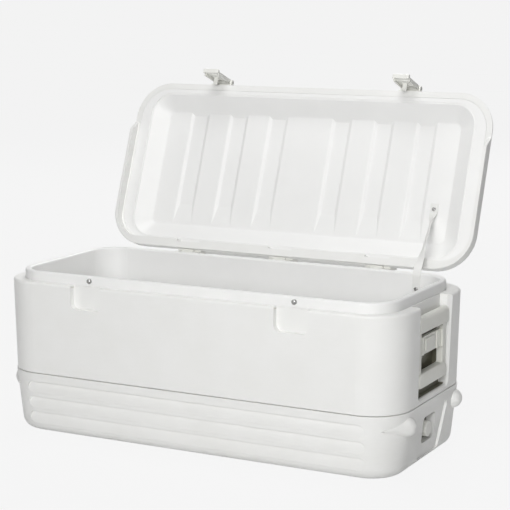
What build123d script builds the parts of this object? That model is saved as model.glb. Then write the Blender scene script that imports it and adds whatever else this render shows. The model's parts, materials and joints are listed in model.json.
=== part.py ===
"""A chest cooler: insulated tub, lid open against its strap, two latches, end handles and a drain."""

from build123d import *
from math import asin, cos, radians, sin, tan
import os

# Millimetres and degrees. X runs along the chest, -Y is its front, Z is up from the floor.

# Upper shell
shell_length = 940.0
shell_depth = 418.0
shell_corner = 90.0
shell_wall = 3.5
shell_draft = 1.4
shoulder_height = 336.0
shoulder_round = 5.0
parting_height = 136.0

# Base
base_wall = 9.0
base_floor = 8.0
base_draft = 6.0
base_lip = 2.0
base_lip_round = 1.5
base_bottom_round = 26.0
base_inner_round = 14.0
parting_gap = 1.6
groove_count = 3
groove_end_margin = 67.0
groove_drop = 19.4
groove_pitch = 34.5
groove_height = 25.0
groove_depth = 7.5
groove_foot = 0.6
groove_end_round = 12.4
gate_mark_across = 290.0
gate_mark_drop = 59.4
gate_mark_radius = 2.2
gate_mark_depth = 4.0
lug_drop = 30.4
lug_nose_radius = 20.5
lug_nose_proud = 16.0
lug_nose_along = 75.0
lug_tip_turn = 36.0
lug_tip_proud = 6.0
end_panel_top_width = 168.0
end_panel_low_width = 108.0
end_panel_low = 14.0
end_panel_drop = 22.4
end_panel_depth = 5.0
end_panel_corner = 10.0
end_panel_flank = 20.0
sole_bar = 60.0
sole_margin = 38.0
sole_panel_corner = 40.0
sole_panel_sink = 3.0

# Liner: tub and collar
collar_end_inset = 28.0
collar_front_inset = 18.0
collar_corner = 72.0
collar_height = 21.0
collar_root = 12.0
collar_clearance = 0.5
collar_round = 4.0
rim_width = 14.0
liner_wall = 3.5
tub_floor = 40.0
tub_draft = 2.0
tub_round = 14.0
foam_clearance = 0.4

# Lid
lid_end_inset = 15.0
lid_side_inset = 6.0
lid_corner = 86.0
lid_height = 84.0
lid_band = 26.0
lid_band_round = 12.0
lid_slope = 32.0
lid_top_round = 18.0
lid_roof = 7.0
lid_gap = 1.5
lid_open_angle = 111.0
skirt_wall = 8.0
skirt_round = 2.5
skirt_back = 20.0
skirt_back_gap = 1.2
skirt_back_corner = 64.0
skirt_notch = 4.5
lift_gap_reach = 124.0
lift_gap_step = 24.0
landing_gap = 1.5
rim_band = 14.0
lid_liner_wall = 3.0
pan_end_margin = 44.0
pan_side_margin = 28.0
pan_corner = 50.0
pan_sink = 24.0
pan_slope = 57.0
pan_round = 8.0
pan_groove_margin = 2.0
pan_groove_width = 2.5
pan_groove_depth = 1.5
flute_pairs = 3
flute_width = 54.0
flute_depth = 4.5
flute_flank = 12.0
flute_pitch = 105.0
flute_end_margin = 82.0
flute_back_margin = 4.0
flute_fade = 46.0
roof_panel_margin = 84.0
roof_panel_corner = 30.0
roof_panel_sink = 2.5

# Hinges
hinge_spacing = 240.0
hinge_width = 60.0
hinge_out = 9.0
hinge_up = 7.0
hinge_pin_radius = 2.5
hinge_pin_proud = 1.5
pin_clearance = 0.05
knuckle_radius = 7.5
knuckle_gap = 0.5
leaf_thickness = 4.0
leaf_round = 1.5
body_leaf_reach = 44.0
body_leaf_clear = 5.0
lid_leaf_reach = 28.0
lid_leaf_rise = 14.0
seat_stand = 1.0
seat_margin = 3.0
seat_bury = 15.0
lid_seat_bury = 40.0

# Screws
screw_head_radius = 4.6
screw_head_height = 2.6
screw_head_round = 1.6
screw_shank_radius = 2.2
screw_shank_length = 10.0
screw_clearance = 0.15
screw_spread = 18.0
drive_radius = 1.8
drive_depth = 1.2

# Latches
latch_spacing = 242.0
latch_width = 40.0
latch_length = 72.0
latch_thickness = 4.5
latch_corner = 2.0
latch_pivot_rise = 19.0
latch_head_gap = 0.4
latch_barrel_radius = 6.0
latch_rib = 3.0
latch_rib_depth = 5.0
latch_lip = 5.0
latch_lip_height = 9.0
latch_lip_round = 2.0
latch_tooth_width = 10.0
latch_tooth_height = 4.0
latch_bracket_plate = 3.0
latch_ear = 4.0
latch_ear_gap = 0.4
latch_pin_proud = 1.0
latch_screw_spread = 9.0
latch_seat_height = 30.0
latch_recess_side = 18.0
latch_recess_drop = 50.0
latch_recess_corner = 14.0
stud_radius = 5.5
stud_head = 6.0
stud_head_round = 3.6
stud_shank_radius = 2.5
stud_shank_length = 9.0
stud_drop = 10.0
stud_bite_gap = 0.6

# End handles
pocket_width = 160.0
pocket_corner = 10.0
pocket_flare = 7.0
pocket_flare_angle = 45.0
well_width = 132.0
well_foot = 12.0
well_head = 5.0
well_depth = 11.0
handle_side_clearance = 4.0
handle_back_clearance = 1.5
handle_foot_clearance = 20.0
handle_pivot_drop = 32.0
handle_plate = 13.5
handle_roll_radius = 9.5
handle_neck = 23.0
handle_slot = 14.0
handle_web = 37.0
handle_opening = 34.0
handle_grip = 30.0
handle_arm = 17.0
handle_corner = 12.0
handle_opening_corner = 5.0
handle_web_sink = 6.0
handle_web_corner = 1.0
handle_neck_corner = 2.0
handle_rib_count = 3
handle_rib_width = 3.5
handle_rib_pitch = 8.0
handle_rib_margin = 5.0
handle_badge_width = 48.0
handle_badge_height = 27.0
handle_badge_proud = 2.5
handle_badge_round = 1.0
handle_grip_proud = 4.0
handle_grip_inset = 2.0
handle_pin_radius = 4.0
handle_pin_clearance = 0.06
handle_pin_seat = 9.0

# Drain
drain_rise = 28.0
drain_pocket_depth = 25.0
drain_pocket_wall = 4.0
drain_finger_side = 16.0
drain_finger_above = 14.0
drain_finger_below = 9.0
drain_pocket_corner = 9.0
drain_seat_gap = 0.1
spout_radius = 12.0
spout_wall = 3.0
spout_flange = 3.0
spout_flange_width = 7.0
spout_thread = 11.0
spout_end_proud = 2.0
spout_clearance = 0.4
drain_nut_width = 5.0
drain_nut_thickness = 6.0
drain_nut_standoff = 1.0
gasket_width = 3.5
gasket_thickness = 2.5
cap_width = 4.5
cap_length = 16.0
cap_wall = 4.0
cap_round = 2.0
cap_grip_count = 18
cap_grip_radius = 1.2

# Lid strap
strap_end_margin = 71.5
strap_skew = 18.0
strap_width = 18.0
strap_thickness = 2.0
strap_lid_reach = 142.7
strap_tab = 13.0
strap_wall_drop = 34.0
strap_seat_gap = 0.3
strap_bend = 6.0

# How far a cutting shape passes the face that it cuts, and how near a height counts as the same
cut_over = 1.0
level = 0.01

# Sizes that follow from the driving dimensions
half_length = shell_length / 2
half_depth = shell_depth / 2
parting_shrink = (shoulder_height - parting_height) * tan(radians(shell_draft))
base_top = parting_height - parting_gap
base_length = shell_length - 2 * parting_shrink + 2 * base_lip
base_depth = shell_depth - 2 * parting_shrink + 2 * base_lip
base_corner = shell_corner - parting_shrink + base_lip
collar_length = shell_length - 2 * collar_end_inset
collar_back_inset = lid_side_inset + skirt_back + skirt_back_gap
collar_front = half_depth - collar_front_inset
collar_back = half_depth - collar_back_inset
collar_depth = collar_front + collar_back
collar_middle = (collar_back - collar_front) / 2
collar_top = shoulder_height + collar_height
tub_length = collar_length - 2 * rim_width
tub_depth = collar_depth - 2 * rim_width
tub_corner = collar_corner - rim_width
lid_length = shell_length - 2 * lid_end_inset
lid_depth = shell_depth - 2 * lid_side_inset
lid_rim = shoulder_height + lid_gap
lid_fold = lid_rim + lid_band
lid_top = lid_rim + lid_height
landing = collar_top + landing_gap
pan_length = lid_length - 2 * pan_end_margin
pan_depth = lid_depth - 2 * pan_side_margin
pan_ceiling = landing + pan_sink
pan_run = pan_sink * tan(radians(pan_slope))
flute_last = pan_length / 2 - pan_run - flute_end_margin
hinge_y = half_depth + hinge_out
hinge_z = shoulder_height + hinge_up
hinge_places = (-hinge_spacing, 0.0, hinge_spacing)
body_seat = half_depth + seat_stand
body_leaf_top = hinge_z - knuckle_radius - body_leaf_clear
lid_seat = lid_depth / 2 + seat_stand
lid_leaf_low = lid_rim + lid_leaf_rise
latch_places = (-latch_spacing, latch_spacing)
latch_seat = lid_depth / 2
latch_pivot_out = latch_bracket_plate + screw_head_height + latch_head_gap + latch_barrel_radius
latch_pivot_y = -(latch_seat + latch_pivot_out)
latch_pivot_z = landing + latch_pivot_rise
latch_bracket_half = latch_width / 2 + latch_ear_gap + latch_ear
latch_recess_width = latch_width + 2 * latch_recess_side
latch_recess_back = collar_front + collar_clearance + shell_wall
stud_height = collar_top - stud_drop
handle_pivot = shoulder_height - handle_pivot_drop
handle_slot_top = handle_pivot - handle_neck
handle_slot_low = handle_slot_top - handle_slot
handle_opening_top = handle_slot_low - handle_web
handle_opening_low = handle_opening_top - handle_opening
handle_low = handle_opening_low - handle_grip
pocket_floor = handle_low - handle_foot_clearance
pocket_back = collar_length / 2 + collar_clearance + shell_wall
well_low = pocket_floor + well_foot
well_high = handle_slot_top - well_head
handle_x = pocket_back + handle_roll_radius + handle_back_clearance
handle_width = pocket_width - 2 * handle_side_clearance
drain_height = tub_floor + drain_rise
drain_back = base_length / 2 - (base_top - drain_height) * tan(radians(base_draft)) - drain_pocket_depth
drain_inside = tub_length / 2 - (collar_top - drain_height) * tan(radians(tub_draft))
cap_radius = spout_radius + cap_width
strap_across = pan_length / 2 - strap_end_margin
strap_low_across = strap_across + strap_skew
opened = Axis((0, hinge_y, hinge_z), (1, 0, 0))


def narrowing_down(length, depth, corner, top, bottom, draft):
    """A rounded block that gets smaller towards its bottom."""
    outline = Pos(0, 0, top) * RectangleRounded(length, depth, corner)
    return extrude(outline, amount=top - bottom, dir=(0, 0, -1), taper=draft)


def narrowing_up(length, depth, corner, bottom, top, draft):
    """A rounded block that gets smaller towards its top."""
    outline = Pos(0, 0, bottom) * RectangleRounded(length, depth, corner)
    return extrude(outline, amount=top - bottom, taper=draft)


def straight(length, depth, corner, bottom, top):
    """A rounded block with upright sides."""
    outline = Pos(0, 0, bottom) * RectangleRounded(length, depth, corner)
    return extrude(outline, amount=top - bottom)


def end_slab(width, low, high, corner, inner, outer, flare=0.0):
    """A rounded outline on the right-hand end, between two distances from the centre."""
    face = Plane.YZ.offset(inner) * Pos(0, (low + high) / 2)
    return extrude(face * RectangleRounded(width, high - low, corner), amount=outer - inner, taper=-flare)


def front_slab(across, width, low, high, corner, inner, outer):
    """A rounded outline on the front, between two distances from the centre."""
    face = Plane.XZ.offset(inner) * Pos(across, (low + high) / 2)
    return extrude(face * RectangleRounded(width, high - low, corner), amount=outer - inner)


def brick(x, y, z):
    """A box between two limits on each axis."""
    size = Box(x[1] - x[0], y[1] - y[0], z[1] - z[0])
    return Pos((x[0] + x[1]) / 2, (y[0] + y[1]) / 2, (z[0] + z[1]) / 2) * size


def rod_x(radius, start, end, y, z):
    """A round rod along X."""
    return Pos((start + end) / 2, y, z) * Rot(0, 90, 0) * Cylinder(radius, end - start)


def rod_y(radius, start, end, x, z):
    """A round rod along Y."""
    return Pos(x, (start + end) / 2, z) * Rot(90, 0, 0) * Cylinder(radius, end - start)


def bottom_edges(shape):
    return shape.faces().sort_by(Axis.Z)[0].edges()


def top_edges(shape):
    return shape.faces().sort_by(Axis.Z)[-1].edges()


def edges_at(shape, height):
    """The edges that lie in one level plane."""
    return shape.edges().filter_by_position(Axis.Z, height - level, height + level)


def both_ends(shape):
    """The right-hand shape and its mirror image on the left."""
    return shape + mirror(shape, Plane.YZ)


def screw(place):
    """A pan-head screw, seated with its head on the plane given."""
    head = extrude(Circle(screw_head_radius), amount=screw_head_height)
    head = fillet(top_edges(head), screw_head_round)
    drive = extrude(RegularPolygon(drive_radius, 6), amount=drive_depth)
    head -= Pos(0, 0, screw_head_height - drive_depth) * drive
    return place * (head + extrude(Circle(screw_shank_radius), amount=-screw_shank_length))


def screw_hole(place):
    """The hole that a screw's shank passes through, open at both ends."""
    reach = screw_shank_length + screw_clearance
    hole = extrude(Circle(screw_shank_radius + screw_clearance), amount=reach, both=True)
    return place * hole


def open_lid(shape):
    """Turns a piece of the closed lid to where it rests, open against the strap."""
    return shape.rotate(opened, -lid_open_angle)


# Upper shell

def shell_block():
    block = narrowing_down(shell_length, shell_depth, shell_corner, shoulder_height, parting_height,
                           shell_draft)
    return fillet(top_edges(block), shoulder_round)


def shell_cavity(grow=0.0):
    shrink = 2 * (shell_wall + grow)
    return narrowing_down(shell_length - shrink, shell_depth - shrink, shell_corner - shell_wall - grow,
                          shoulder_height - shell_wall - grow, parting_height, shell_draft)


def handle_pocket():
    """The space that an end handle hangs in, open through the shoulder, with a well for the fingers."""
    outer = half_length + pocket_flare
    high = collar_top + pocket_corner
    flare_start = half_length - parting_shrink - shell_wall
    space = end_slab(pocket_width, pocket_floor, high, pocket_corner, pocket_back, outer)
    space += end_slab(pocket_width, pocket_floor, high, pocket_corner, flare_start, outer, pocket_flare_angle)
    space += end_slab(well_width, well_low, well_high, pocket_corner, pocket_back - well_depth, pocket_back)
    return space


def handle_pocket_walls(grow=0.0):
    side = 2 * (shell_wall + pocket_flare + handle_pin_seat / 2 + grow)
    around = 2 * (shell_wall + grow)
    low = pocket_floor - shell_wall - pocket_flare / 2 - grow
    inner = pocket_back - shell_wall - grow
    walls = end_slab(pocket_width + side, low, shoulder_height, pocket_corner, inner, half_length)
    well = end_slab(well_width + around, well_low - shell_wall - grow, well_high + shell_wall + grow,
                    pocket_corner, inner - well_depth, pocket_back)
    return walls + well


def latch_recess(across):
    return front_slab(across, latch_recess_width, shoulder_height - latch_recess_drop,
                      collar_top + latch_recess_corner, latch_recess_corner, latch_recess_back,
                      half_depth + cut_over)


def latch_recess_walls(across, grow=0.0):
    around = shell_wall + grow
    return front_slab(across, latch_recess_width + 2 * around, shoulder_height - latch_recess_drop - around,
                      shoulder_height, latch_recess_corner, latch_recess_back - around, half_depth)


def body_hinge_seat(across, grow=0.0):
    half = hinge_width / 2 + seat_margin + grow
    low = body_leaf_top - body_leaf_reach - seat_margin - grow
    return brick((across - half, across + half), (body_seat - seat_bury - grow, body_seat),
                 (low, shoulder_height - shoulder_round))


def outer_shell():
    block = shell_block()
    shell = block - shell_cavity()
    shell += both_ends(handle_pocket_walls()) & block
    for across in latch_places:
        shell += latch_recess_walls(across) & block
    for across in hinge_places:
        shell += body_hinge_seat(across)
    mouth = straight(collar_length + 2 * collar_clearance, collar_depth + 2 * collar_clearance,
                     collar_corner + collar_clearance, shoulder_height - 2 * collar_root, collar_top)
    shell -= Pos(0, collar_middle, 0) * mouth
    shell -= both_ends(handle_pocket())
    for across in latch_places:
        shell -= latch_recess(across)
    shell -= both_ends(handle_pin(handle_pin_clearance))
    for place in body_hinge_screw_places():
        shell -= screw_hole(place)
    return shell


# Base

def base_half(overall, height):
    """Half the base's length or depth at a height, on its drafted outer face."""
    return overall / 2 - (base_top - height) * tan(radians(base_draft))


def wall_plane(overall, low, high, low_sink, high_sink, across, outward):
    """A plane sunk into a drafted base wall by one depth at its low edge and another at its high edge."""
    low_out = base_half(overall, low) - low_sink
    high_out = base_half(overall, high) - high_sink
    middle = Vector(outward) * ((low_out + high_out) / 2) + Vector(0, 0, (low + high) / 2)
    normal = Vector(outward) * (high - low) + Vector(0, 0, low_out - high_out)
    return Plane(origin=middle, x_dir=across, z_dir=normal)


def base_block():
    block = narrowing_down(base_length, base_depth, base_corner, base_top, 0.0, base_draft)
    block = fillet(bottom_edges(block), base_bottom_round)
    return fillet(top_edges(block), base_lip_round)


def base_cavity(grow=0.0, top=base_top):
    spread = (top - base_top) * tan(radians(base_draft))
    shrink = 2 * (base_wall + grow - spread)
    cavity = narrowing_down(base_length - shrink, base_depth - shrink, base_corner - base_wall - grow,
                            top, base_floor + grow, base_draft)
    return fillet(bottom_edges(cavity), base_inner_round)


def front_groove(index):
    high = base_top - groove_drop - index * groove_pitch
    low = high - groove_height
    plane = wall_plane(base_depth, low, high, groove_foot, groove_depth, (1, 0, 0), (0, -1, 0))
    outline = plane * RectangleRounded(base_length - 2 * groove_end_margin, groove_height, groove_end_round)
    return extrude(outline, amount=base_wall)


def corner_lugs():
    """Four pointed bosses beside the corners of the base, for a lashing to pass under."""
    height = base_top - lug_drop
    half_x = base_half(base_length, height)
    half_y = base_half(base_depth, height)
    turn = radians(lug_tip_turn)
    reach = base_corner + lug_tip_proud
    tip = Vector(half_x - base_corner + reach * sin(turn), half_y - base_corner + reach * cos(turn), height)
    nose = Vector(half_x + lug_nose_proud - lug_nose_radius, half_y - lug_nose_along, height)
    length = (nose - tip).length
    touch = asin(lug_nose_radius / length)
    shoulder = (length - lug_nose_radius * sin(touch), lug_nose_radius * cos(touch))
    crown = (length + lug_nose_radius * cos(touch), lug_nose_radius * sin(touch))
    pole = (length + lug_nose_radius, 0)
    outline = Line((0, 0), shoulder) + ThreePointArc(shoulder, crown, pole) + Line(pole, (0, 0))
    lug = Plane(origin=tip, x_dir=nose - tip, z_dir=(0, 0, 1)) * revolve(make_face(outline), Axis.X)
    return both_ends(lug + mirror(lug, Plane.XZ))


def end_panel():
    high = base_top - end_panel_drop
    plane = wall_plane(base_length, end_panel_low, high, end_panel_depth, end_panel_depth, (0, 1, 0),
                       (1, 0, 0))
    half = (high - end_panel_low) / 2
    top = end_panel_top_width / 2
    low = end_panel_low_width / 2
    outline = Polygon((-low, -half), (low, -half), (top, half), (-top, half), align=None)
    outline = fillet(outline.vertices(), end_panel_corner)
    return extrude(plane * outline, amount=3 * end_panel_depth, taper=-end_panel_flank)


def drain_pocket(grow=0.0):
    """The rounded recess round the drain, with grow adding its wall."""
    around = cap_radius + grow
    return end_slab(2 * (around + drain_finger_side), drain_height - around - drain_finger_below,
                    drain_height + around + drain_finger_above, drain_pocket_corner + grow,
                    drain_back - grow, half_length)


def sole_panels():
    """Two shallow hollows under the base, with a bar between them that the chest stands on."""
    length = base_half(base_length, 0.0) - base_bottom_round - sole_bar / 2 - sole_margin
    depth = 2 * (base_half(base_depth, 0.0) - base_bottom_round - sole_margin)
    panel = straight(length, depth, sole_panel_corner, -cut_over, sole_panel_sink)
    return both_ends(Pos((length + sole_bar) / 2, 0, 0) * panel)


def base():
    block = base_block()
    tray = block - base_cavity()
    tray += drain_pocket(drain_pocket_wall) & block
    for index in range(groove_count):
        groove = front_groove(index)
        tray -= groove
        tray -= mirror(groove, Plane.XZ)
    tray -= both_ends(end_panel())
    tray -= drain_pocket()
    tray += corner_lugs() - base_cavity()
    tray -= rod_x(spout_radius + spout_clearance, 0, drain_back, 0, drain_height)
    gate_height = base_top - gate_mark_drop
    gate_out = base_half(base_depth, gate_height)
    tray -= rod_y(gate_mark_radius, -gate_out - cut_over, -gate_out + gate_mark_depth, gate_mark_across,
                  gate_height)
    return tray - sole_panels()


# Liner and insulation

def tub(grow=0.0):
    """The tub's inside, or its outside when grown by the liner's wall."""
    block = narrowing_down(tub_length + 2 * grow, tub_depth + 2 * grow, tub_corner + grow, collar_top,
                           tub_floor - grow, tub_draft)
    return Pos(0, collar_middle, 0) * fillet(bottom_edges(block), tub_round + grow)


def collar(grow=0.0):
    ring = straight(collar_length + 2 * grow, collar_depth + 2 * grow, collar_corner + grow,
                    shoulder_height - collar_root - grow, collar_top)
    return Pos(0, collar_middle, 0) * ring


def inner_liner():
    liner = collar() + tub(liner_wall) - tub()
    liner = fillet(edges_at(liner, collar_top), collar_round)
    liner -= rod_x(spout_radius + spout_clearance, 0, half_length, 0, drain_height)
    for across in latch_places:
        hole = stud_shank_radius + screw_clearance
        liner -= rod_y(hole, -collar_front, -collar_front + stud_shank_length, across, stud_height)
    return liner - screw_hole(strap_body_screw_place())


def body_foam():
    foam = shell_cavity(foam_clearance) + base_cavity(foam_clearance, parting_height)
    foam -= tub(liner_wall + foam_clearance)
    foam -= collar(foam_clearance)
    foam -= both_ends(handle_pocket_walls(foam_clearance))
    foam -= drain_pocket(drain_pocket_wall + foam_clearance)
    foam -= rod_x(spout_radius + spout_clearance, 0, half_length, 0, drain_height)
    for across in latch_places:
        foam -= latch_recess_walls(across, foam_clearance)
    for across in hinge_places:
        foam -= body_hinge_seat(across, foam_clearance)
    return foam - screw_hole(strap_body_screw_place())


# Lid, drawn closed

def lid_form(inset, top):
    """The lid's outer form drawn in by an inset: an upright band, and above it sides that lean in."""
    fold = lid_fold - inset * tan(radians(lid_slope / 2))
    length = lid_length - 2 * inset
    depth = lid_depth - 2 * inset
    corner = lid_corner - inset
    band = straight(length, depth, corner, lid_rim, fold)
    return band + narrowing_up(length, depth, corner, fold, top, lid_slope)


def lid_block():
    block = fillet(top_edges(lid_form(0.0, lid_top)), lid_top_round)
    return fillet(edges_at(block, lid_fold), lid_band_round)


def lid_plate(inset, bottom, top):
    """A level slab with the lid's outline, drawn in by an inset."""
    return straight(lid_length - 2 * inset, lid_depth - 2 * inset, lid_corner - inset, bottom, top)


def lift_gap():
    """What is cut from the skirt at the front, where fingers go and the collar's studs stay bare."""
    back = -lid_depth / 2 + lift_gap_reach
    low = lid_rim - cut_over
    outline = Polygon((-lid_depth, low), (back, low), (back, lid_rim), (back - lift_gap_step, landing),
                      (-lid_depth, landing), align=None)
    return extrude(Plane.YZ * outline, amount=lid_length, both=True)


def lid_hinge_rail():
    """The flat along the back of the lid that the three hinge leaves screw to."""
    half = hinge_spacing + hinge_width / 2 + seat_margin
    return brick((-half, half), (lid_seat - lid_seat_bury, lid_seat),
                 (lid_leaf_low - seat_margin, lid_leaf_low + lid_leaf_reach + seat_margin))


def back_skirt():
    """What makes the skirt thicker at the back, with a notch at each hinge."""
    inner = lid_depth / 2 - skirt_back
    space = straight(lid_length - 2 * skirt_wall, 2 * lid_depth, skirt_back_corner, lid_rim, landing)
    skirt = lid_plate(skirt_wall / 2, lid_rim, landing) - Pos(0, inner - lid_depth, 0) * space
    for across in hinge_places:
        skirt -= brick((across - hinge_width / 2, across + hinge_width / 2),
                       (inner - cut_over, inner + skirt_notch), (lid_rim - cut_over, landing))
    return skirt


def latch_pad(across):
    half = latch_bracket_half + seat_margin
    return brick((across - half, across + half), (-latch_seat, -latch_seat + lid_seat_bury),
                 (landing, latch_pivot_z + latch_seat_height / 2 + seat_margin))


def lid_shell():
    hollow = lid_form(skirt_wall, lid_top - lid_roof)
    shell = fillet(bottom_edges(lid_block()), skirt_round)
    shell += lid_hinge_rail()
    for across in latch_places:
        shell += latch_pad(across)
    shell -= hollow
    shell += back_skirt()
    shell -= lift_gap()
    ledge = lid_plate(skirt_wall / 2, landing, landing + lid_liner_wall)
    shell += ledge - lid_plate(rim_band, landing, landing + lid_liner_wall)
    shell -= straight(lid_length - 2 * roof_panel_margin, lid_depth - 2 * roof_panel_margin,
                      roof_panel_corner, lid_top - roof_panel_sink, lid_top + cut_over)
    for place in lid_hinge_screw_places() + latch_screw_places():
        shell -= screw_hole(place)
    return shell


def pan_block(ceiling, grow):
    """The pan's plain form up to a ceiling, with grow adding the liner's wall."""
    wall = grow / cos(radians(pan_slope))
    return narrowing_up(pan_length + 2 * wall, pan_depth + 2 * wall, pan_corner + wall, landing,
                        ceiling + grow, pan_slope)


def flute_section(grow):
    """A flute's cross-section above the pan's ceiling, with flanks that turn smoothly in and out."""
    half = flute_width / 2 + grow
    bend = half - flute_flank / 2
    top = half - flute_flank
    arc = (flute_flank ** 2 + flute_depth ** 2) / (4 * flute_depth)
    outline = Polyline((-half, 0), (-half, -pan_round), (half, -pan_round), (half, 0))
    outline += Line((-top, flute_depth), (top, flute_depth))
    for side in (-1, 1):
        outline += RadiusArc((side * half, 0), (side * bend, flute_depth / 2), side * arc)
        outline += RadiusArc((side * bend, flute_depth / 2), (side * top, flute_depth), -side * arc)
    return make_face(outline)


def flute_reach(grow):
    """The length that the flutes may take: from within the front wall to where they fade out at the back."""
    back = pan_depth / 2 - pan_run - flute_back_margin + grow
    low = pan_ceiling + grow - pan_round
    high = pan_ceiling + grow + flute_depth
    outline = Polygon((-lid_depth, low), (back + flute_fade * pan_round / flute_depth, low),
                      (back - flute_fade, high), (-lid_depth, high), align=None)
    return extrude(Plane.YZ * outline, amount=lid_length, both=True)


def pan(grow=0.0):
    """The hollow pressed up into the lid's liner, with flutes that run from its front wall to the back."""
    hollow = fillet(top_edges(pan_block(pan_ceiling, grow)), pan_round + grow)
    room = pan_block(pan_ceiling + flute_depth, grow) & flute_reach(grow)
    for index in range(flute_pairs):
        for side in (-1, 1):
            place = Pos(side * (flute_last - index * flute_pitch), 0, pan_ceiling + grow)
            flute = place * extrude(Plane.XZ * flute_section(grow), amount=lid_depth / 2, both=True)
            hollow += flute & room
    return hollow


def pan_groove():
    """The fine line pressed round the pan."""
    inner = pan_groove_margin
    outer = pan_groove_margin + pan_groove_width
    ring = straight(pan_length + 2 * outer, pan_depth + 2 * outer, pan_corner + outer, landing,
                    landing + pan_groove_depth)
    return ring - straight(pan_length + 2 * inner, pan_depth + 2 * inner, pan_corner + inner, landing,
                           landing + pan_groove_depth)


def lid_liner():
    plate = lid_plate(rim_band + foam_clearance, landing, landing + lid_liner_wall)
    liner = plate + pan(lid_liner_wall) - pan() - pan_groove()
    return liner - screw_hole(strap_lid_screw_place())


def lid_foam():
    foam = lid_form(skirt_wall + foam_clearance, lid_top - lid_roof - foam_clearance)
    foam -= lid_plate(0.0, lid_rim, landing + lid_liner_wall + foam_clearance)
    foam -= pan(lid_liner_wall + foam_clearance)
    return foam - screw_hole(strap_lid_screw_place())


# Hinges, drawn closed

def body_hinge_screw_places():
    height = body_leaf_top - body_leaf_reach / 2
    return [Plane((across + side * screw_spread, body_seat + leaf_thickness, height), z_dir=(0, 1, 0))
            for across in hinge_places for side in (-1, 1)]


def lid_hinge_screw_places():
    height = lid_leaf_low + lid_leaf_reach / 2
    return [Plane((across + side * screw_spread, lid_seat + leaf_thickness, height), z_dir=(0, 1, 0))
            for across in hinge_places for side in (-1, 1)]


def hinge_leaf_plate(across, seat, low, high):
    """The flat of a leaf, with its far corners and outer edges eased."""
    half = hinge_width / 2
    plate = brick((across - half, across + half), (seat, seat + leaf_thickness), (low, high))
    return fillet(plate.faces().sort_by(Axis.Y)[-1].edges(), leaf_round)


def hinge_hole(across):
    radius = hinge_pin_radius + pin_clearance
    return rod_x(radius, across - hinge_width, across + hinge_width, hinge_y, hinge_z)


def knuckle(start, end, seat, foot):
    """A knuckle round the hinge pin with the arm that reaches down or up to its leaf."""
    low, high = sorted((hinge_z, foot))
    arm = brick((start, end), (seat, hinge_y + knuckle_radius / 2), (low, high))
    return rod_x(knuckle_radius, start, end, hinge_y, hinge_z) + arm


def hinge_body_leaf(across):
    leaf = hinge_leaf_plate(across, body_seat, body_leaf_top - body_leaf_reach, body_leaf_top)
    quarter = hinge_width / 4
    for side in (-1, 1):
        start, end = sorted((across + side * (quarter + knuckle_gap), across + side * hinge_width / 2))
        leaf += knuckle(start, end, body_seat, body_leaf_top - leaf_thickness)
    leaf -= hinge_hole(across)
    for place in body_hinge_screw_places():
        leaf -= screw_hole(place)
    return leaf


def hinge_lid_leaf(across):
    leaf = hinge_leaf_plate(across, lid_seat, lid_leaf_low, lid_leaf_low + lid_leaf_reach)
    quarter = hinge_width / 4
    leaf += knuckle(across - quarter, across + quarter, lid_seat, lid_leaf_low + leaf_thickness)
    leaf -= hinge_hole(across)
    for place in lid_hinge_screw_places():
        leaf -= screw_hole(place)
    return leaf


def hinge_pin(across):
    half = hinge_width / 2 + hinge_pin_proud
    return rod_x(hinge_pin_radius, across - half, across + half, hinge_y, hinge_z)


# Latches, drawn closed

def latch_screw_places():
    back = -latch_seat - latch_bracket_plate
    return [Plane((across + side * latch_screw_spread, back, latch_pivot_z), z_dir=(0, -1, 0))
            for across in latch_places for side in (-1, 1)]


def latch_bracket(across):
    half = latch_bracket_half
    back = -latch_seat - latch_bracket_plate
    bracket = brick((across - half, across + half), (back, -latch_seat),
                    (latch_pivot_z - latch_seat_height / 2, latch_pivot_z + latch_seat_height / 2))
    for side in (-1, 1):
        start, end = sorted((across + side * half, across + side * (half - latch_ear)))
        bracket += brick((start, end), (latch_pivot_y, back),
                         (latch_pivot_z - latch_barrel_radius, latch_pivot_z + latch_barrel_radius))
        bracket += rod_x(latch_barrel_radius, start, end, latch_pivot_y, latch_pivot_z)
    bracket -= rod_x(hinge_pin_radius + pin_clearance, across - 2 * half, across + 2 * half,
                     latch_pivot_y, latch_pivot_z)
    for place in latch_screw_places():
        bracket -= screw_hole(place)
    return bracket


def latch_pin(across):
    half = latch_bracket_half + latch_pin_proud
    return rod_x(hinge_pin_radius, across - half, across + half, latch_pivot_y, latch_pivot_z)


def latch(across):
    """The latch hanging from its pin: barrel, plate, side ribs, finger lip and the tooth for the stud."""
    half = latch_width / 2
    outer = latch_pivot_y - latch_barrel_radius
    inner = outer + latch_thickness
    low = latch_pivot_z - latch_length
    body = front_slab(across, latch_width, low, latch_pivot_z, latch_corner, -inner, -outer)
    for side in (-1, 1):
        start, end = sorted((across + side * half, across + side * (half - latch_rib)))
        body += brick((start, end), (inner, inner + latch_rib_depth), (low + latch_lip_height, latch_pivot_z))
    lip = front_slab(across, latch_width, low, low + latch_lip_height, latch_corner, -inner,
                     -outer + latch_lip)
    body += fillet(lip.faces().sort_by(Axis.Y)[0].edges(), latch_lip_round)
    body += rod_x(latch_barrel_radius, across - half, across + half, latch_pivot_y, latch_pivot_z)
    tooth_tip = -collar_front - stud_head - stud_bite_gap
    tooth_top = stud_height - stud_radius - stud_bite_gap
    body += brick((across - latch_tooth_width / 2, across + latch_tooth_width / 2), (inner, tooth_tip),
                  (tooth_top - latch_tooth_height, tooth_top))
    body -= rod_x(hinge_pin_radius + pin_clearance, across - latch_width, across + latch_width,
                  latch_pivot_y, latch_pivot_z)
    return body


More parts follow.
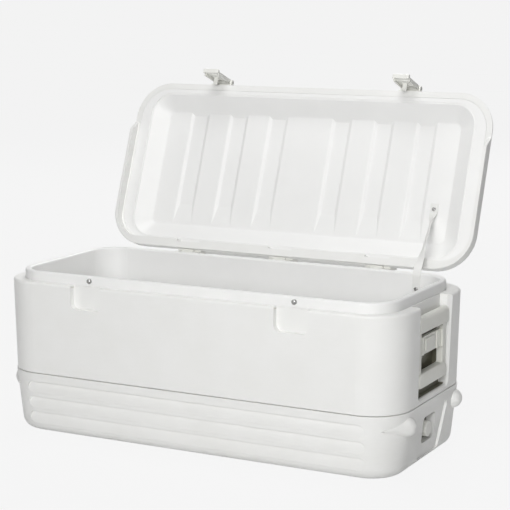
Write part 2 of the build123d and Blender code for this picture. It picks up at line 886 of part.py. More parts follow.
def latch_studs():
    """Two domed screws on the collar that the latches snap over."""
    face = -collar_front
    studs = []
    for across in latch_places:
        head = rod_y(stud_radius, face - stud_head, face, across, stud_height)
        head = fillet(head.edges().sort_by(Axis.Y)[0], stud_head_round)
        end = face + stud_shank_length - screw_clearance
        studs.append(head + rod_y(stud_shank_radius, face, end, across, stud_height))
    return Compound(children=studs)


# End handles

def handle_pin(grow=0.0):
    reach = pocket_width / 2 + handle_pin_seat + grow
    return rod_y(handle_pin_radius + grow, -reach, reach, handle_x, handle_pivot)


def handle():
    """The right-hand handle hanging in its pocket: roll, ribbed web, finger opening and grip."""
    back = pocket_back + handle_back_clearance
    front = back + handle_plate
    roll_front = handle_x + handle_roll_radius
    web = front - handle_web_sink
    opening = handle_width - 2 * handle_arm
    body = end_slab(handle_width, handle_low, handle_pivot, handle_corner, back, front)
    body += end_slab(handle_width, handle_slot_top, handle_pivot, handle_neck_corner, back, roll_front)
    body += rod_y(handle_roll_radius, -handle_width / 2, handle_width / 2, handle_x, handle_pivot)
    grip = end_slab(handle_width - 2 * handle_grip_inset, handle_low, handle_opening_low, handle_corner, back,
                    front + handle_grip_proud)
    body += fillet(grip.faces().sort_by(Axis.X)[-1].edges(), handle_grip_proud)
    for low, high in ((handle_slot_low, handle_slot_top), (handle_opening_low, handle_opening_top)):
        body -= end_slab(opening, low, high, handle_opening_corner, back - cut_over, roll_front + cut_over)
    body -= end_slab(opening, handle_opening_top, handle_slot_low, handle_web_corner, web, front + cut_over)
    middle = (handle_opening_top + handle_slot_low) / 2
    badge = end_slab(handle_badge_width, middle - handle_badge_height / 2, middle + handle_badge_height / 2,
                     handle_opening_corner, web - cut_over, web + handle_badge_proud)
    body += fillet(badge.faces().sort_by(Axis.X)[-1].edges(), handle_badge_round)
    for side in (-1, 1):
        for index in range(handle_rib_count):
            centre = side * (opening / 2 - handle_rib_margin - index * handle_rib_pitch)
            body += brick((web - cut_over, web + handle_badge_proud),
                          (centre - handle_rib_width / 2, centre + handle_rib_width / 2),
                          (handle_opening_top, handle_slot_low))
    return body - rod_y(handle_pin_radius + handle_pin_clearance, -handle_width, handle_width,
                        handle_x, handle_pivot)


# Drain

def drain_spout():
    start = drain_inside - drain_nut_standoff - drain_nut_thickness - spout_end_proud
    flange_face = drain_back + spout_flange
    end = flange_face + spout_thread
    tube = rod_x(spout_radius, start, end, 0, drain_height)
    tube += rod_x(spout_radius + spout_flange_width, drain_back, flange_face, 0, drain_height)
    return tube - rod_x(spout_radius - spout_wall, start - cut_over, end + cut_over, 0, drain_height)


def drain_nut():
    start = drain_inside - drain_nut_standoff - drain_nut_thickness
    outline = RegularPolygon(spout_radius + drain_nut_width, 6)
    nut = extrude(Plane.YZ.offset(start) * Pos(0, drain_height) * outline, amount=drain_nut_thickness)
    return nut - rod_x(spout_radius + pin_clearance, 0, half_length, 0, drain_height)


def drain_gasket():
    face = drain_back + spout_flange + drain_seat_gap
    ring = rod_x(spout_radius + gasket_width, face, face + gasket_thickness, 0, drain_height)
    return ring - rod_x(spout_radius + spout_clearance, 0, half_length, 0, drain_height)


def drain_cap():
    face = drain_back + spout_flange + gasket_thickness + 2 * drain_seat_gap
    end = face + cap_length
    cap = rod_x(cap_radius, face, end, 0, drain_height)
    cap = fillet(cap.edges().sort_by(Axis.X)[-1], cap_round)
    cap -= rod_x(spout_radius + spout_clearance, face - cut_over, end - cap_wall, 0, drain_height)
    for index in range(cap_grip_count):
        turn = radians(index * 360.0 / cap_grip_count)
        cap -= rod_x(cap_grip_radius, face - cut_over, end + cut_over, cap_radius * cos(turn),
                     drain_height + cap_radius * sin(turn))
    return cap


# Lid strap

def strap_lid_screw_place():
    """Where the strap's screw goes into the closed lid's pan, head downwards."""
    along = lid_depth / 2 - strap_lid_reach
    return Plane((strap_across, along, pan_ceiling - strap_seat_gap - strap_thickness), z_dir=(0, 0, -1))


def strap_wall_y(height):
    return collar_middle + tub_depth / 2 - (collar_top - height) * tan(radians(tub_draft))


def strap_body_screw_place():
    """Where the strap's screw goes into the tub's rear wall, head towards the front."""
    height = collar_top - strap_wall_drop
    lean = radians(tub_draft)
    out = (strap_seat_gap + strap_thickness) / cos(lean)
    return Plane((strap_low_across, strap_wall_y(height) - out, height), z_dir=(0, -cos(lean), sin(lean)))


def strap_route():
    """Middle line of the strap in the Y-Z plane, from below its wall screw to the open lid's pan."""
    off = strap_seat_gap + strap_thickness / 2
    low_height = collar_top - strap_wall_drop - strap_tab
    out = off / cos(radians(tub_draft))
    points = [(strap_wall_y(height) - out, height) for height in (low_height, collar_top + off)]
    turn = radians(-lid_open_angle)
    for reach in (strap_lid_reach - strap_tab, strap_lid_reach + strap_tab):
        y = lid_depth / 2 - reach - hinge_y
        z = pan_ceiling - off - hinge_z
        points.append((hinge_y + y * cos(turn) - z * sin(turn), hinge_z + y * sin(turn) + z * cos(turn)))
    return points


def strap_outline():
    """The strap seen from the front: upright on the tub's wall, then slanting to its seat on the lid."""
    low, bend, seat, top = (height for _, height in strap_route())
    middle = [(strap_low_across, low - cut_over), (strap_low_across, bend)]
    middle += [(strap_across, seat), (strap_across, top + cut_over)]
    left = [(across - strap_width / 2, height) for across, height in middle]
    right = [(across + strap_width / 2, height) for across, height in reversed(middle)]
    return Plane.XZ * make_face(Polyline(*left, *right, close=True))


def lid_strap():
    """The flat strap that stops the lid, drawn tight between its two screws."""
    line = FilletPolyline(*strap_route(), radius=strap_bend)
    band = Plane.YZ * trace(line, line_width=strap_thickness)
    sheet = Pos(strap_across, 0, 0) * extrude(band, amount=strap_skew + strap_width, both=True)
    strap = sheet & extrude(strap_outline(), amount=lid_depth, both=True)
    strap -= screw_hole(strap_body_screw_place())
    return strap - open_lid(screw_hole(strap_lid_screw_place()))


def write_parts():
    os.makedirs("parts", exist_ok=True)
    pieces = {
        "outer_shell": outer_shell(),
        "base": base(),
        "inner_liner": inner_liner(),
        "body_foam": body_foam(),
        "lid_shell": open_lid(lid_shell()),
        "lid_liner": open_lid(lid_liner()),
        "lid_foam": open_lid(lid_foam()),
        "latch_studs": latch_studs(),
        "handle_right": handle(),
        "handle_left": mirror(handle(), Plane.YZ),
        "handle_pin_right": handle_pin(),
        "handle_pin_left": mirror(handle_pin(), Plane.YZ),
        "drain_spout": drain_spout(),
        "drain_nut": drain_nut(),
        "drain_gasket": drain_gasket(),
        "drain_cap": drain_cap(),
        "lid_strap": lid_strap(),
        "strap_screw_body": screw(strap_body_screw_place()),
        "strap_screw_lid": open_lid(screw(strap_lid_screw_place())),
        "hinge_screws_body": Compound(children=[screw(place) for place in body_hinge_screw_places()]),
        "hinge_screws_lid": open_lid(Compound(children=[screw(place) for place in lid_hinge_screw_places()])),
        "latch_screws": open_lid(Compound(children=[screw(place) for place in latch_screw_places()])),
    }
    for name, across in zip(("left", "middle", "right"), hinge_places):
        pieces["hinge_body_leaf_" + name] = hinge_body_leaf(across)
        pieces["hinge_lid_leaf_" + name] = open_lid(hinge_lid_leaf(across))
        pieces["hinge_pin_" + name] = hinge_pin(across)
    for name, across in zip(("left", "right"), latch_places):
        pieces["latch_bracket_" + name] = open_lid(latch_bracket(across))
        pieces["latch_pin_" + name] = open_lid(latch_pin(across))
        pieces["latch_" + name] = open_lid(latch(across))
    for name, piece in pieces.items():
        export_step(piece, "parts/" + name + ".step")


write_parts()
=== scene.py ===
import json
import math

import bmesh
import bpy
from mathutils import Matrix, Vector
from mathutils.geometry import interpolate_bezier


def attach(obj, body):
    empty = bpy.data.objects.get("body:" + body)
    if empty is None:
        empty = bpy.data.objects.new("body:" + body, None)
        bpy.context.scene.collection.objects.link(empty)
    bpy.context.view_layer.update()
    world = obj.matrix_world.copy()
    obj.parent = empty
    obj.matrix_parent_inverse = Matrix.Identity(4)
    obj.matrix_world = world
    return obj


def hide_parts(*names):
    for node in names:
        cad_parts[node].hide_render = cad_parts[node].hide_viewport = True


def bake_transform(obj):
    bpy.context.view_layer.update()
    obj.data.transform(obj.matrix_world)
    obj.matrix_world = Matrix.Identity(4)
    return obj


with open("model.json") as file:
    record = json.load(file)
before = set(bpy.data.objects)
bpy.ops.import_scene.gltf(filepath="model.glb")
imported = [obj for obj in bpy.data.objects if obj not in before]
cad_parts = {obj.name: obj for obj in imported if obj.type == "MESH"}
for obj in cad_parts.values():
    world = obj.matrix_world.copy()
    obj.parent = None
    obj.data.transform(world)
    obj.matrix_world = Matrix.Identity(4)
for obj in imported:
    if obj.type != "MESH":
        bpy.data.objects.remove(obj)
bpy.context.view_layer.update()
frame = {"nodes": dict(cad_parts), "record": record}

nodes = frame["nodes"]
record = frame["record"]

# The camera's place, in metres and degrees
LOOK_AT = Vector((0.0540, 0.0, 0.3981))
CAMERA_AZIMUTH = 27.57
CAMERA_ELEVATION = 9.57
CAMERA_DISTANCE = 3.4353
LENS = 113.6
SENSOR = 36.0

# Skins: how far noise spreads, and what grain and wear do to colour, roughness and relief
NOISE_LOW = 0.3
NOISE_HIGH = 0.7
PLASTIC_IOR = 1.5
GRAIN_DEPTH = 0.0004
ROUGHNESS_SPREAD = 0.04
WORN_DARKER = 0.93
WORN_ROUGHER = 0.2
SCUFF_STRETCH = (40.0, 40.0, 260.0)
SCUFF_TURN = (0.5, 0.3, 0.2)

# Steel, rubber and foam: two tones each, and the scale of their texture
STEEL_TONES = ((0.26, 0.26, 0.26), (0.40, 0.40, 0.39))
STEEL_ROUGHNESS = (0.12, 0.24)
STEEL_BRUSH = 2500.0
RUBBER_TONES = ((0.02, 0.02, 0.02), (0.04, 0.04, 0.04))
RUBBER_ROUGHNESS = (0.6, 0.75)
RUBBER_GRAIN = 1500.0
FOAM_TONES = ((0.62, 0.60, 0.52), (0.74, 0.72, 0.64))
FOAM_ROUGHNESS = 0.9
FOAM_CELLS = 700.0

# Painted shade: a dark olive tint for the shadow in the handle pockets and round the drain; each box gives
# reach, half width, lowest and highest
PAINTED_SHADE_COLOUR = (0.15, 0.145, 0.105)
PAINTED_SHADE_SOFT = 0.001
PAINTED_SHADE_INNERMOST = 0.400
PAINTED_SHADE_SIDE_FROM = -0.1
HANDLE_WELL_SHADE = ((0.4472, 0.0765, 0.1475, 0.279), (0.4570, 0.0790, 0.1400, 0.1490))
DRAIN_WELL_SHADE = ((0.4372, 0.0330, 0.0420, 0.0990),)

# Lid strap: its line from the tub's rear wall to the lid, its section, the heights between which it turns on
# edge, and how far from each corner and how softly its bends are eased
STRAP_ROUTE = ((0.3575, 0.1649, 0.3100), (0.3575, 0.1667, 0.3583),
               (0.3395, 0.3043, 0.4641), (0.3395, 0.3148, 0.4887))
STRAP_WIDTH = 0.018
STRAP_THICKNESS = 0.0018
STRAP_ROUND = 0.0005
STRAP_BEND = 0.010
STRAP_EASE = 0.6
STRAP_TWIST = -55.0
STRAP_TWIST_BEGINS = (0.368, 0.408)
STRAP_TWIST_ENDS = (0.452, 0.467)
STRAP_STEPS = 6
STRAP_STEP_LENGTH = 0.004

# Ribs inside the latches, with the lid and latches closed
LATCH_ACROSS = 0.242
LATCH_INNER = -0.2165
LATCH_RIB_LOW = 0.3225
LATCH_RIB_STEP = 0.0078
LATCH_RIBS = 6
LATCH_RIB_LENGTH = 0.0345
LATCH_RIB_RADIUS = 0.0019
LATCH_RIB_SIDES = 16
HINGE = Vector((0.0, 0.218, 0.343))
LID_OPEN = 111.0

# Studio: the floor and its sweep, how much of the floor is shown flat, and each lamp's name, place, aim, size
# and power
BACKDROP = (0.93, 0.93, 0.93)
AMBIENT = 0.03
FLOOR_HALF = 8.0
FLOOR_TONE = (0.8, 0.8, 0.8)
FLOOR_GLOW = 0.96
SWEEP_RADIUS = 1.2
SWEEP_HEIGHT = 5.0
SWEEP_STEPS = 12
LAMPS = (
    ("front_softbox", (1.30, -3.58, 1.64), (0.0, 0.0, 0.4), (2.0, 1.6), 108.0),
    ("top_softbox", (0.0, 0.0, 2.7), (0.0, 0.0, 0.3), (1.6, 1.0), 25.0),
    ("back_softbox", (-1.3, 5.0, 3.4), (0.0, 0.0, 0.4), (2.4, 1.2), 140.0),
)


# Node helpers

def socket(node, name, value):
    """Sets one input of a node."""
    node.inputs[name].default_value = value
    return node


def new_material(name):
    material = bpy.data.materials.new(name)
    material.use_nodes = True
    material.node_tree.nodes.clear()
    return material, material.node_tree


def add(tree, kind, **inputs):
    """Adds a node, with its inputs by name, spaces written as underscores."""
    node = tree.nodes.new(kind)
    for name, value in inputs.items():
        socket(node, name.replace("_", " "), value)
    return node


def math_node(tree, operation, first, second):
    """A maths node between two values or sockets."""
    node = tree.nodes.new("ShaderNodeMath")
    node.operation = operation
    for slot, value in enumerate((first, second)):
        if isinstance(value, bpy.types.NodeSocket):
            tree.links.new(value, node.inputs[slot])
        else:
            node.inputs[slot].default_value = value
    return node.outputs[0]


def mix_colour(tree, factor, first, second):
    node = tree.nodes.new("ShaderNodeMix")
    node.data_type = "RGBA"
    tree.links.new(factor, node.inputs["Factor"])
    for name, value in (("A", first), ("B", second)):
        colour = [s for s in node.inputs if s.name == name and s.type == "RGBA"][0]
        if isinstance(value, bpy.types.NodeSocket):
            tree.links.new(value, colour)
        else:
            colour.default_value = (*value, 1.0)
    return [s for s in node.outputs if s.type == "RGBA"][0]


def spread(tree, value, low, high):
    """Maps a noise value to a range."""
    node = tree.nodes.new("ShaderNodeMapRange")
    node.inputs["From Min"].default_value = NOISE_LOW
    node.inputs["From Max"].default_value = NOISE_HIGH
    node.inputs["To Min"].default_value = low
    node.inputs["To Max"].default_value = high
    tree.links.new(value, node.inputs["Value"])
    return node.outputs["Result"]


# Shared effects

def effect_group(name, inputs, outputs):
    """An empty shader group with named sockets: its tree, inputs and output node."""
    tree = bpy.data.node_groups.new(name, "ShaderNodeTree")
    for label, kind, value in inputs:
        made = tree.interface.new_socket(label, in_out="INPUT", socket_type=kind)
        made.default_value = value
    for label, kind in outputs:
        tree.interface.new_socket(label, in_out="OUTPUT", socket_type=kind)
    return tree, tree.nodes.new("NodeGroupInput"), tree.nodes.new("NodeGroupOutput")


def moulded_grain():
    """Fine grain and slow waviness of a moulded skin, with the faint tone changes of pigmented plastic."""
    tree, inside, out = effect_group(
        "moulded_grain",
        [("Grain Scale", "NodeSocketFloat", 900.0), ("Wave Scale", "NodeSocketFloat", 14.0),
         ("Grain Share", "NodeSocketFloat", 0.6)],
        [("Tone", "NodeSocketFloat"), ("Height", "NodeSocketFloat")])
    place = tree.nodes.new("ShaderNodeTexCoord").outputs["Object"]
    fine = add(tree, "ShaderNodeTexNoise", Detail=3.0)
    wave = add(tree, "ShaderNodeTexNoise", Detail=2.0)
    for texture, scale in ((fine, "Grain Scale"), (wave, "Wave Scale")):
        tree.links.new(place, texture.inputs["Vector"])
        tree.links.new(inside.outputs[scale], texture.inputs["Scale"])
    share = math_node(tree, "MULTIPLY", fine.outputs["Fac"], inside.outputs["Grain Share"])
    height = math_node(tree, "ADD", share, wave.outputs["Fac"])
    tree.links.new(wave.outputs["Fac"], out.inputs["Tone"])
    tree.links.new(height, out.inputs["Height"])
    return tree


def handling_scuffs():
    """Short faint scratches and rubbed patches from use."""
    tree, inside, out = effect_group(
        "handling_scuffs",
        [("Patch Scale", "NodeSocketFloat", 6.0), ("Amount", "NodeSocketFloat", 0.3)],
        [("Mask", "NodeSocketFloat")])
    place = tree.nodes.new("ShaderNodeTexCoord").outputs["Object"]
    stretch = add(tree, "ShaderNodeMapping", Scale=SCUFF_STRETCH, Rotation=SCUFF_TURN)
    tree.links.new(place, stretch.inputs["Vector"])
    streak = add(tree, "ShaderNodeTexNoise", Scale=1.0, Detail=4.0, Roughness=0.7)
    tree.links.new(stretch.outputs["Vector"], streak.inputs["Vector"])
    patch = add(tree, "ShaderNodeTexNoise", Detail=3.0)
    tree.links.new(place, patch.inputs["Vector"])
    tree.links.new(inside.outputs["Patch Scale"], patch.inputs["Scale"])
    both = math_node(tree, "MULTIPLY", spread(tree, streak.outputs["Fac"], 0.0, 1.0),
                     spread(tree, patch.outputs["Fac"], 0.0, 1.0))
    tree.links.new(math_node(tree, "MULTIPLY", both, inside.outputs["Amount"]), out.inputs["Mask"])
    return tree


GRAIN = moulded_grain()
SCUFFS = handling_scuffs()


# Materials

def use_group(tree, group, **inputs):
    node = tree.nodes.new("ShaderNodeGroup")
    node.node_tree = group
    for name, value in inputs.items():
        socket(node, name.replace("_", " "), value)
    return node


def between(tree, value, low, high, soft):
    """1 where the value lies between two limits, with a soft edge."""
    rise = tree.nodes.new("ShaderNodeMapRange")
    fall = tree.nodes.new("ShaderNodeMapRange")
    for node, first, last in ((rise, low - soft, low + soft), (fall, high + soft, high - soft)):
        node.inputs["From Min"].default_value = first
        node.inputs["From Max"].default_value = last
        tree.links.new(value, node.inputs["Value"])
    return math_node(tree, "MULTIPLY", rise.outputs["Result"], fall.outputs["Result"])


def painted_shade_mask(tree, boxes):
    """1 inside boxes that lie alike at both ends, where shade is painted into the recesses."""
    place = tree.nodes.new("ShaderNodeTexCoord").outputs["Object"]
    parts = tree.nodes.new("ShaderNodeSeparateXYZ")
    tree.links.new(place, parts.inputs[0])
    out = math_node(tree, "ABSOLUTE", parts.outputs["X"], 0.0)
    side = math_node(tree, "ABSOLUTE", parts.outputs["Y"], 0.0)
    mask = None
    for reach, half, low, high in boxes:
        depth = between(tree, out, PAINTED_SHADE_INNERMOST, reach, PAINTED_SHADE_SOFT)
        width = between(tree, side, PAINTED_SHADE_SIDE_FROM, half, PAINTED_SHADE_SOFT)
        height = between(tree, parts.outputs["Z"], low, high, PAINTED_SHADE_SOFT)
        inside = math_node(tree, "MULTIPLY", depth, math_node(tree, "MULTIPLY", width, height))
        mask = inside if mask is None else math_node(tree, "MAXIMUM", mask, inside)
    return mask


def moulded_plastic(name, light, shade, roughness, grain_scale, bump, scuffs, painted_shade_boxes=()):
    """A moulded plastic skin between two near tones, with painted shade in the given recess boxes."""
    material, tree = new_material(name)
    shader = add(tree, "ShaderNodeBsdfPrincipled", IOR=PLASTIC_IOR)
    output = tree.nodes.new("ShaderNodeOutputMaterial")
    tree.links.new(shader.outputs["BSDF"], output.inputs["Surface"])
    grain = use_group(tree, GRAIN, Grain_Scale=grain_scale)
    marks = use_group(tree, SCUFFS, Amount=scuffs)
    tone = mix_colour(tree, spread(tree, grain.outputs["Tone"], 0.0, 1.0), light, shade)
    wear_and_painted_shade = mix_colour(tree, marks.outputs["Mask"], tone, [part * WORN_DARKER for part in shade])
    # Painted shade: a dark olive tint over the recess boxes, standing in for their shadow
    if painted_shade_boxes:
        wear_and_painted_shade = mix_colour(tree, painted_shade_mask(tree, painted_shade_boxes), wear_and_painted_shade, PAINTED_SHADE_COLOUR)
    tree.links.new(wear_and_painted_shade, shader.inputs["Base Color"])
    skin = spread(tree, grain.outputs["Tone"], roughness - ROUGHNESS_SPREAD, roughness + ROUGHNESS_SPREAD)
    rubbed = math_node(tree, "MULTIPLY", marks.outputs["Mask"], WORN_ROUGHER)
    tree.links.new(math_node(tree, "ADD", skin, rubbed), shader.inputs["Roughness"])
    height = add(tree, "ShaderNodeBump", Strength=bump, Distance=GRAIN_DEPTH)
    tree.links.new(grain.outputs["Height"], height.inputs["Height"])
    tree.links.new(height.outputs["Normal"], shader.inputs["Normal"])
    return material


def bright_steel():
    """Turned and polished stainless steel."""
    material, tree = new_material("bright_steel")
    shader = add(tree, "ShaderNodeBsdfPrincipled", Metallic=1.0)
    output = tree.nodes.new("ShaderNodeOutputMaterial")
    tree.links.new(shader.outputs["BSDF"], output.inputs["Surface"])
    place = tree.nodes.new("ShaderNodeTexCoord").outputs["Object"]
    texture = add(tree, "ShaderNodeTexNoise", Scale=STEEL_BRUSH, Detail=3.0)
    tree.links.new(place, texture.inputs["Vector"])
    brush = texture.outputs["Fac"]
    tree.links.new(mix_colour(tree, brush, *STEEL_TONES), shader.inputs["Base Color"])
    tree.links.new(spread(tree, brush, *STEEL_ROUGHNESS), shader.inputs["Roughness"])
    return material


def soft_rubber():
    """Dark matt rubber."""
    material, tree = new_material("gasket_rubber")
    shader = add(tree, "ShaderNodeBsdfPrincipled", IOR=PLASTIC_IOR)
    output = tree.nodes.new("ShaderNodeOutputMaterial")
    tree.links.new(shader.outputs["BSDF"], output.inputs["Surface"])
    grain = use_group(tree, GRAIN, Grain_Scale=RUBBER_GRAIN)
    tree.links.new(mix_colour(tree, grain.outputs["Tone"], *RUBBER_TONES), shader.inputs["Base Color"])
    tree.links.new(spread(tree, grain.outputs["Tone"], *RUBBER_ROUGHNESS), shader.inputs["Roughness"])
    return material


def cell_foam():
    """Poured insulation, pale cream with small cells."""
    material, tree = new_material("cell_foam")
    shader = add(tree, "ShaderNodeBsdfPrincipled", Roughness=FOAM_ROUGHNESS)
    output = tree.nodes.new("ShaderNodeOutputMaterial")
    tree.links.new(shader.outputs["BSDF"], output.inputs["Surface"])
    place = tree.nodes.new("ShaderNodeTexCoord").outputs["Object"]
    cells = add(tree, "ShaderNodeTexVoronoi", Scale=FOAM_CELLS)
    tree.links.new(place, cells.inputs["Vector"])
    tree.links.new(mix_colour(tree, cells.outputs["Distance"], *FOAM_TONES), shader.inputs["Base Color"])
    return material


def paint(names, material):
    for name in names:
        slots = nodes[name].data.materials
        slots.clear()
        slots.append(material)


def finish_nodes():
    """Gives every CAD node its finish."""
    finishes = {
        # Shell: painted shade in the handle wells
        "shell_white": moulded_plastic(
            "shell_white", light=(0.86, 0.86, 0.845), shade=(0.84, 0.84, 0.82),
            roughness=0.38, grain_scale=900.0, bump=0.08, scuffs=0.2, painted_shade_boxes=HANDLE_WELL_SHADE),
        # Base: painted shade in the drain recess
        "base_grey": moulded_plastic(
            "base_white", light=(0.86, 0.86, 0.845), shade=(0.835, 0.835, 0.815),
            roughness=0.40, grain_scale=800.0, bump=0.10, scuffs=0.4, painted_shade_boxes=DRAIN_WELL_SHADE),
        "liner_white": moulded_plastic(
            "liner_white", light=(0.885, 0.885, 0.875), shade=(0.87, 0.87, 0.86),
            roughness=0.42, grain_scale=1100.0, bump=0.05, scuffs=0.1),
        "hardware_white": moulded_plastic(
            "hardware_white", light=(0.84, 0.84, 0.80), shade=(0.81, 0.81, 0.77),
            roughness=0.38, grain_scale=1000.0, bump=0.08, scuffs=0.3),
        "handle_grey": moulded_plastic(
            "handle_white", light=(0.82, 0.82, 0.77), shade=(0.78, 0.78, 0.73),
            roughness=0.40, grain_scale=1000.0, bump=0.10, scuffs=0.4),
        "strap": moulded_plastic(
            "strap_white", light=(0.84, 0.84, 0.82), shade=(0.80, 0.80, 0.78),
            roughness=0.45, grain_scale=1500.0, bump=0.2, scuffs=0.1),
        "steel": bright_steel(),
        "gasket": soft_rubber(),
        "foam": cell_foam(),
    }
    for part in record["subparts"]:
        paint([part["node"]], finishes[part["material_slot"]])
    return finishes


# Pieces made here

def new_object(name, mesh, material):
    piece = bpy.data.objects.new(name, mesh)
    bpy.context.scene.collection.objects.link(piece)
    mesh.materials.clear()
    mesh.materials.append(material)
    return piece


def strap_line():
    """Points along the strap's middle, with eased corners."""
    corners = [Vector(corner) for corner in STRAP_ROUTE]
    points = [corners[0]]
    for before, corner, after in zip(corners, corners[1:], corners[2:]):
        enter = corner + (before - corner).normalized() * STRAP_BEND
        leave = corner + (after - corner).normalized() * STRAP_BEND
        pull_in = enter.lerp(corner, STRAP_EASE)
        pull_out = leave.lerp(corner, STRAP_EASE)
        points += interpolate_bezier(enter, pull_in, pull_out, leave, STRAP_STEPS)
    points.append(corners[-1])
    line = [points[0]]
    for start, end in zip(points, points[1:]):
        pieces = max(1, round((end - start).length / STRAP_STEP_LENGTH))
        line += [start.lerp(end, step / pieces) for step in range(1, pieces + 1)]
    return line


def ease(value, low, high):
    """A smooth step from 0 at low to 1 at high."""
    share = min(1.0, max(0.0, (value - low) / (high - low)))
    return share * share * (3 - 2 * share)


def lid_strap_band(material):
    """The webbing strap, flat under both screws and turned on edge below the lid."""
    line = strap_line()
    shape = bmesh.new()
    half, thick, rim = STRAP_WIDTH / 2, STRAP_THICKNESS / 2, STRAP_ROUND
    lower = [(-half, -thick + rim), (-half + rim, -thick), (half - rim, -thick), (half, -thick + rim)]
    section = lower + [(-w, -d) for w, d in lower]
    rings = []
    across = Vector((1.0, 0.0, 0.0))
    for number, point in enumerate(line):
        along = (line[min(number + 1, len(line) - 1)] - line[max(number - 1, 0)]).normalized()
        face = along.cross(across).normalized()
        flat = face.cross(along)
        turned = ease(point.z, *STRAP_TWIST_BEGINS) * (1.0 - ease(point.z, *STRAP_TWIST_ENDS))
        turn = math.radians(STRAP_TWIST) * turned
        wide = flat * math.cos(turn) + face * math.sin(turn)
        deep = face * math.cos(turn) - flat * math.sin(turn)
        rings.append([shape.verts.new(point + wide * w + deep * d) for w, d in section])
    for first, second in zip(rings, rings[1:]):
        for corner in range(len(section)):
            following = (corner + 1) % len(section)
            shape.faces.new((first[corner], first[following], second[following], second[corner]))
    shape.faces.new(list(reversed(rings[0])))
    shape.faces.new(rings[-1])
    bmesh.ops.recalc_face_normals(shape, faces=shape.faces)
    mesh = bpy.data.meshes.new("strap_band")
    shape.to_mesh(mesh)
    shape.free()
    strap = new_object("strap_band", mesh, material)
    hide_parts("lid_strap")
    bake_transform(strap)


def rib_row_tree():
    """A Geometry Nodes tree: a row of half-sunk round ribs across a plate."""
    tree = bpy.data.node_groups.new("rib_row", "GeometryNodeTree")
    tree.interface.new_socket("Geometry", in_out="OUTPUT", socket_type="NodeSocketGeometry")
    sizes = (("First", "NodeSocketVector"), ("Step", "NodeSocketVector"), ("Count", "NodeSocketInt"),
             ("Length", "NodeSocketFloat"), ("Radius", "NodeSocketFloat"), ("Finish", "NodeSocketMaterial"))
    for name, kind in sizes:
        tree.interface.new_socket(name, in_out="INPUT", socket_type=kind)
    inside = tree.nodes.new("NodeGroupInput").outputs
    out = tree.nodes.new("NodeGroupOutput")
    row = tree.nodes.new("GeometryNodeMeshLine")
    rib = tree.nodes.new("GeometryNodeMeshCylinder")
    rib.inputs["Vertices"].default_value = LATCH_RIB_SIDES
    lay = tree.nodes.new("GeometryNodeTransform")
    lay.inputs["Rotation"].default_value = (0.0, math.pi / 2, 0.0)
    place = tree.nodes.new("GeometryNodeInstanceOnPoints")
    real = tree.nodes.new("GeometryNodeRealizeInstances")
    smooth = tree.nodes.new("GeometryNodeSetShadeSmooth")
    finish = tree.nodes.new("GeometryNodeSetMaterial")
    links = (
        (inside["Count"], row.inputs["Count"]),
        (inside["First"], row.inputs["Start Location"]),
        (inside["Step"], row.inputs["Offset"]),
        (inside["Radius"], rib.inputs["Radius"]),
        (inside["Length"], rib.inputs["Depth"]),
        (rib.outputs["Mesh"], lay.inputs["Geometry"]),
        (row.outputs["Mesh"], place.inputs["Points"]),
        (lay.outputs["Geometry"], place.inputs["Instance"]),
        (place.outputs["Instances"], real.inputs["Geometry"]),
        (real.outputs["Geometry"], smooth.inputs["Geometry"]),
        (smooth.outputs["Geometry"], finish.inputs["Geometry"]),
        (inside["Finish"], finish.inputs["Material"]),
        (finish.outputs["Geometry"], out.inputs["Geometry"]),
    )
    for source, target in links:
        tree.links.new(source, target)
    return tree


def grown(name, tree, values, material):
    """The plain mesh that a Geometry Nodes tree gives for these values."""
    holder = new_object(name + "_source", bpy.data.meshes.new(name + "_source"), material)
    change = holder.modifiers.new("grow", "NODES")
    change.node_group = tree
    for item in tree.interface.items_tree:
        if item.item_type == "SOCKET" and item.in_out == "INPUT":
            change[item.identifier] = values[item.name]
    view = bpy.context.evaluated_depsgraph_get()
    mesh = bpy.data.meshes.new_from_object(holder.evaluated_get(view))
    mesh.name = name
    holder.modifiers.clear()
    bpy.data.objects.remove(holder)
    return mesh


def latch_ribs(material):
    """Cross ribs on the inner face of both latches."""
    tree = rib_row_tree()
    swing = Matrix.Rotation(math.radians(-LID_OPEN), 4, "X")
    opening = Matrix.Translation(HINGE) @ swing @ Matrix.Translation(-HINGE)
    for side, across in (("left", -LATCH_ACROSS), ("right", LATCH_ACROSS)):
        values = {
            "First": (across, LATCH_INNER, LATCH_RIB_LOW),
            "Step": (0.0, 0.0, LATCH_RIB_STEP),
            "Count": LATCH_RIBS,
            "Length": LATCH_RIB_LENGTH,
            "Radius": LATCH_RIB_RADIUS,
            "Finish": material,
        }
        mesh = grown("latch_ribs_" + side, tree, values, material)
        mesh.transform(opening)
        ribs = new_object("latch_ribs_" + side, mesh, material)
        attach(ribs, "latch_" + side)


# Studio

def seen_directly(tree):
    """1 for rays that come from the camera, a mirror or glass."""
    path = tree.nodes.new("ShaderNodeLightPath").outputs
    mirrored = math_node(tree, "MAXIMUM", path["Is Glossy Ray"], path["Is Transmission Ray"])
    return math_node(tree, "MAXIMUM", path["Is Camera Ray"], mirrored)


def studio_world(ambient):
    world = bpy.data.worlds.new("studio")
    bpy.context.scene.world = world
    world.use_nodes = True
    tree = world.node_tree
    tree.nodes.clear()
    seen = seen_directly(tree)
    shown = add(tree, "ShaderNodeBackground", Color=(*BACKDROP, 1.0), Strength=1.0)
    light = add(tree, "ShaderNodeBackground", Color=(1.0, 1.0, 1.0, 1.0), Strength=ambient)
    mix = tree.nodes.new("ShaderNodeMixShader")
    output = tree.nodes.new("ShaderNodeOutputWorld")
    tree.links.new(seen, mix.inputs[0])
    tree.links.new(light.outputs[0], mix.inputs[1])
    tree.links.new(shown.outputs[0], mix.inputs[2])
    tree.links.new(mix.outputs[0], output.inputs["Surface"])


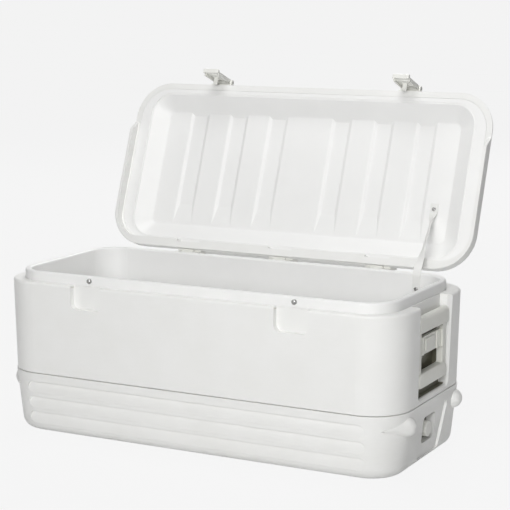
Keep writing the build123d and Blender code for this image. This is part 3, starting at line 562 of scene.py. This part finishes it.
def pale_floor(glow):
    """A floor that curves up behind, shown pale, with a light shadow under the chest."""
    mesh = bpy.data.meshes.new("floor")
    shape = bmesh.new()
    line = [(-FLOOR_HALF, 0.0), (FLOOR_HALF - SWEEP_RADIUS, 0.0)]
    for step in range(1, SWEEP_STEPS + 1):
        turn = math.pi / 2 * step / SWEEP_STEPS
        reach = FLOOR_HALF - SWEEP_RADIUS * (1 - math.sin(turn))
        line.append((reach, SWEEP_RADIUS * (1 - math.cos(turn))))
    line.append((FLOOR_HALF, SWEEP_HEIGHT))
    rows = [[shape.verts.new((side * FLOOR_HALF, y, z)) for y, z in line] for side in (-1, 1)]
    for step in range(len(line) - 1):
        shape.faces.new((rows[0][step], rows[1][step], rows[1][step + 1], rows[0][step + 1]))
    shape.to_mesh(mesh)
    shape.free()
    floor = bpy.data.objects.new("floor", mesh)
    bpy.context.scene.collection.objects.link(floor)
    material, tree = new_material("pale_floor")
    matt = add(tree, "ShaderNodeBsdfDiffuse", Color=(*FLOOR_TONE, 1.0))
    flat = add(tree, "ShaderNodeEmission", Color=(*BACKDROP, 1.0), Strength=1.0)
    mix = tree.nodes.new("ShaderNodeMixShader")
    output = tree.nodes.new("ShaderNodeOutputMaterial")
    tree.links.new(math_node(tree, "MULTIPLY", seen_directly(tree), glow), mix.inputs[0])
    tree.links.new(matt.outputs[0], mix.inputs[1])
    tree.links.new(flat.outputs[0], mix.inputs[2])
    tree.links.new(mix.outputs[0], output.inputs["Surface"])
    mesh.materials.append(material)


def softbox(name, place, aim, size, power):
    light = bpy.data.lights.new(name, "AREA")
    light.shape = "RECTANGLE"
    light.size = size[0]
    light.size_y = size[1]
    light.energy = power
    lamp = bpy.data.objects.new(name, light)
    lamp.location = place
    lamp.rotation_euler = (Vector(aim) - Vector(place)).to_track_quat("-Z", "Y").to_euler()
    bpy.context.scene.collection.objects.link(lamp)


def photo_camera():
    azimuth = math.radians(CAMERA_AZIMUTH)
    elevation = math.radians(CAMERA_ELEVATION)
    level = math.cos(elevation)
    back = Vector((math.sin(azimuth) * level, -math.cos(azimuth) * level, math.sin(elevation)))
    camera = bpy.data.objects.new("camera", bpy.data.cameras.new("camera"))
    camera.data.lens = LENS
    camera.data.sensor_width = SENSOR
    camera.location = LOOK_AT + CAMERA_DISTANCE * back
    camera.rotation_euler = back.to_track_quat("Z", "Y").to_euler()
    bpy.context.scene.collection.objects.link(camera)
    bpy.context.scene.camera = camera


bpy.context.scene.view_settings.view_transform = "Standard"
photo_camera()
finishes = finish_nodes()
lid_strap_band(finishes["strap"])
latch_ribs(finishes["hardware_white"])
studio_world(AMBIENT)
pale_floor(FLOOR_GLOW)
for lamp in LAMPS:
    softbox(*lamp)
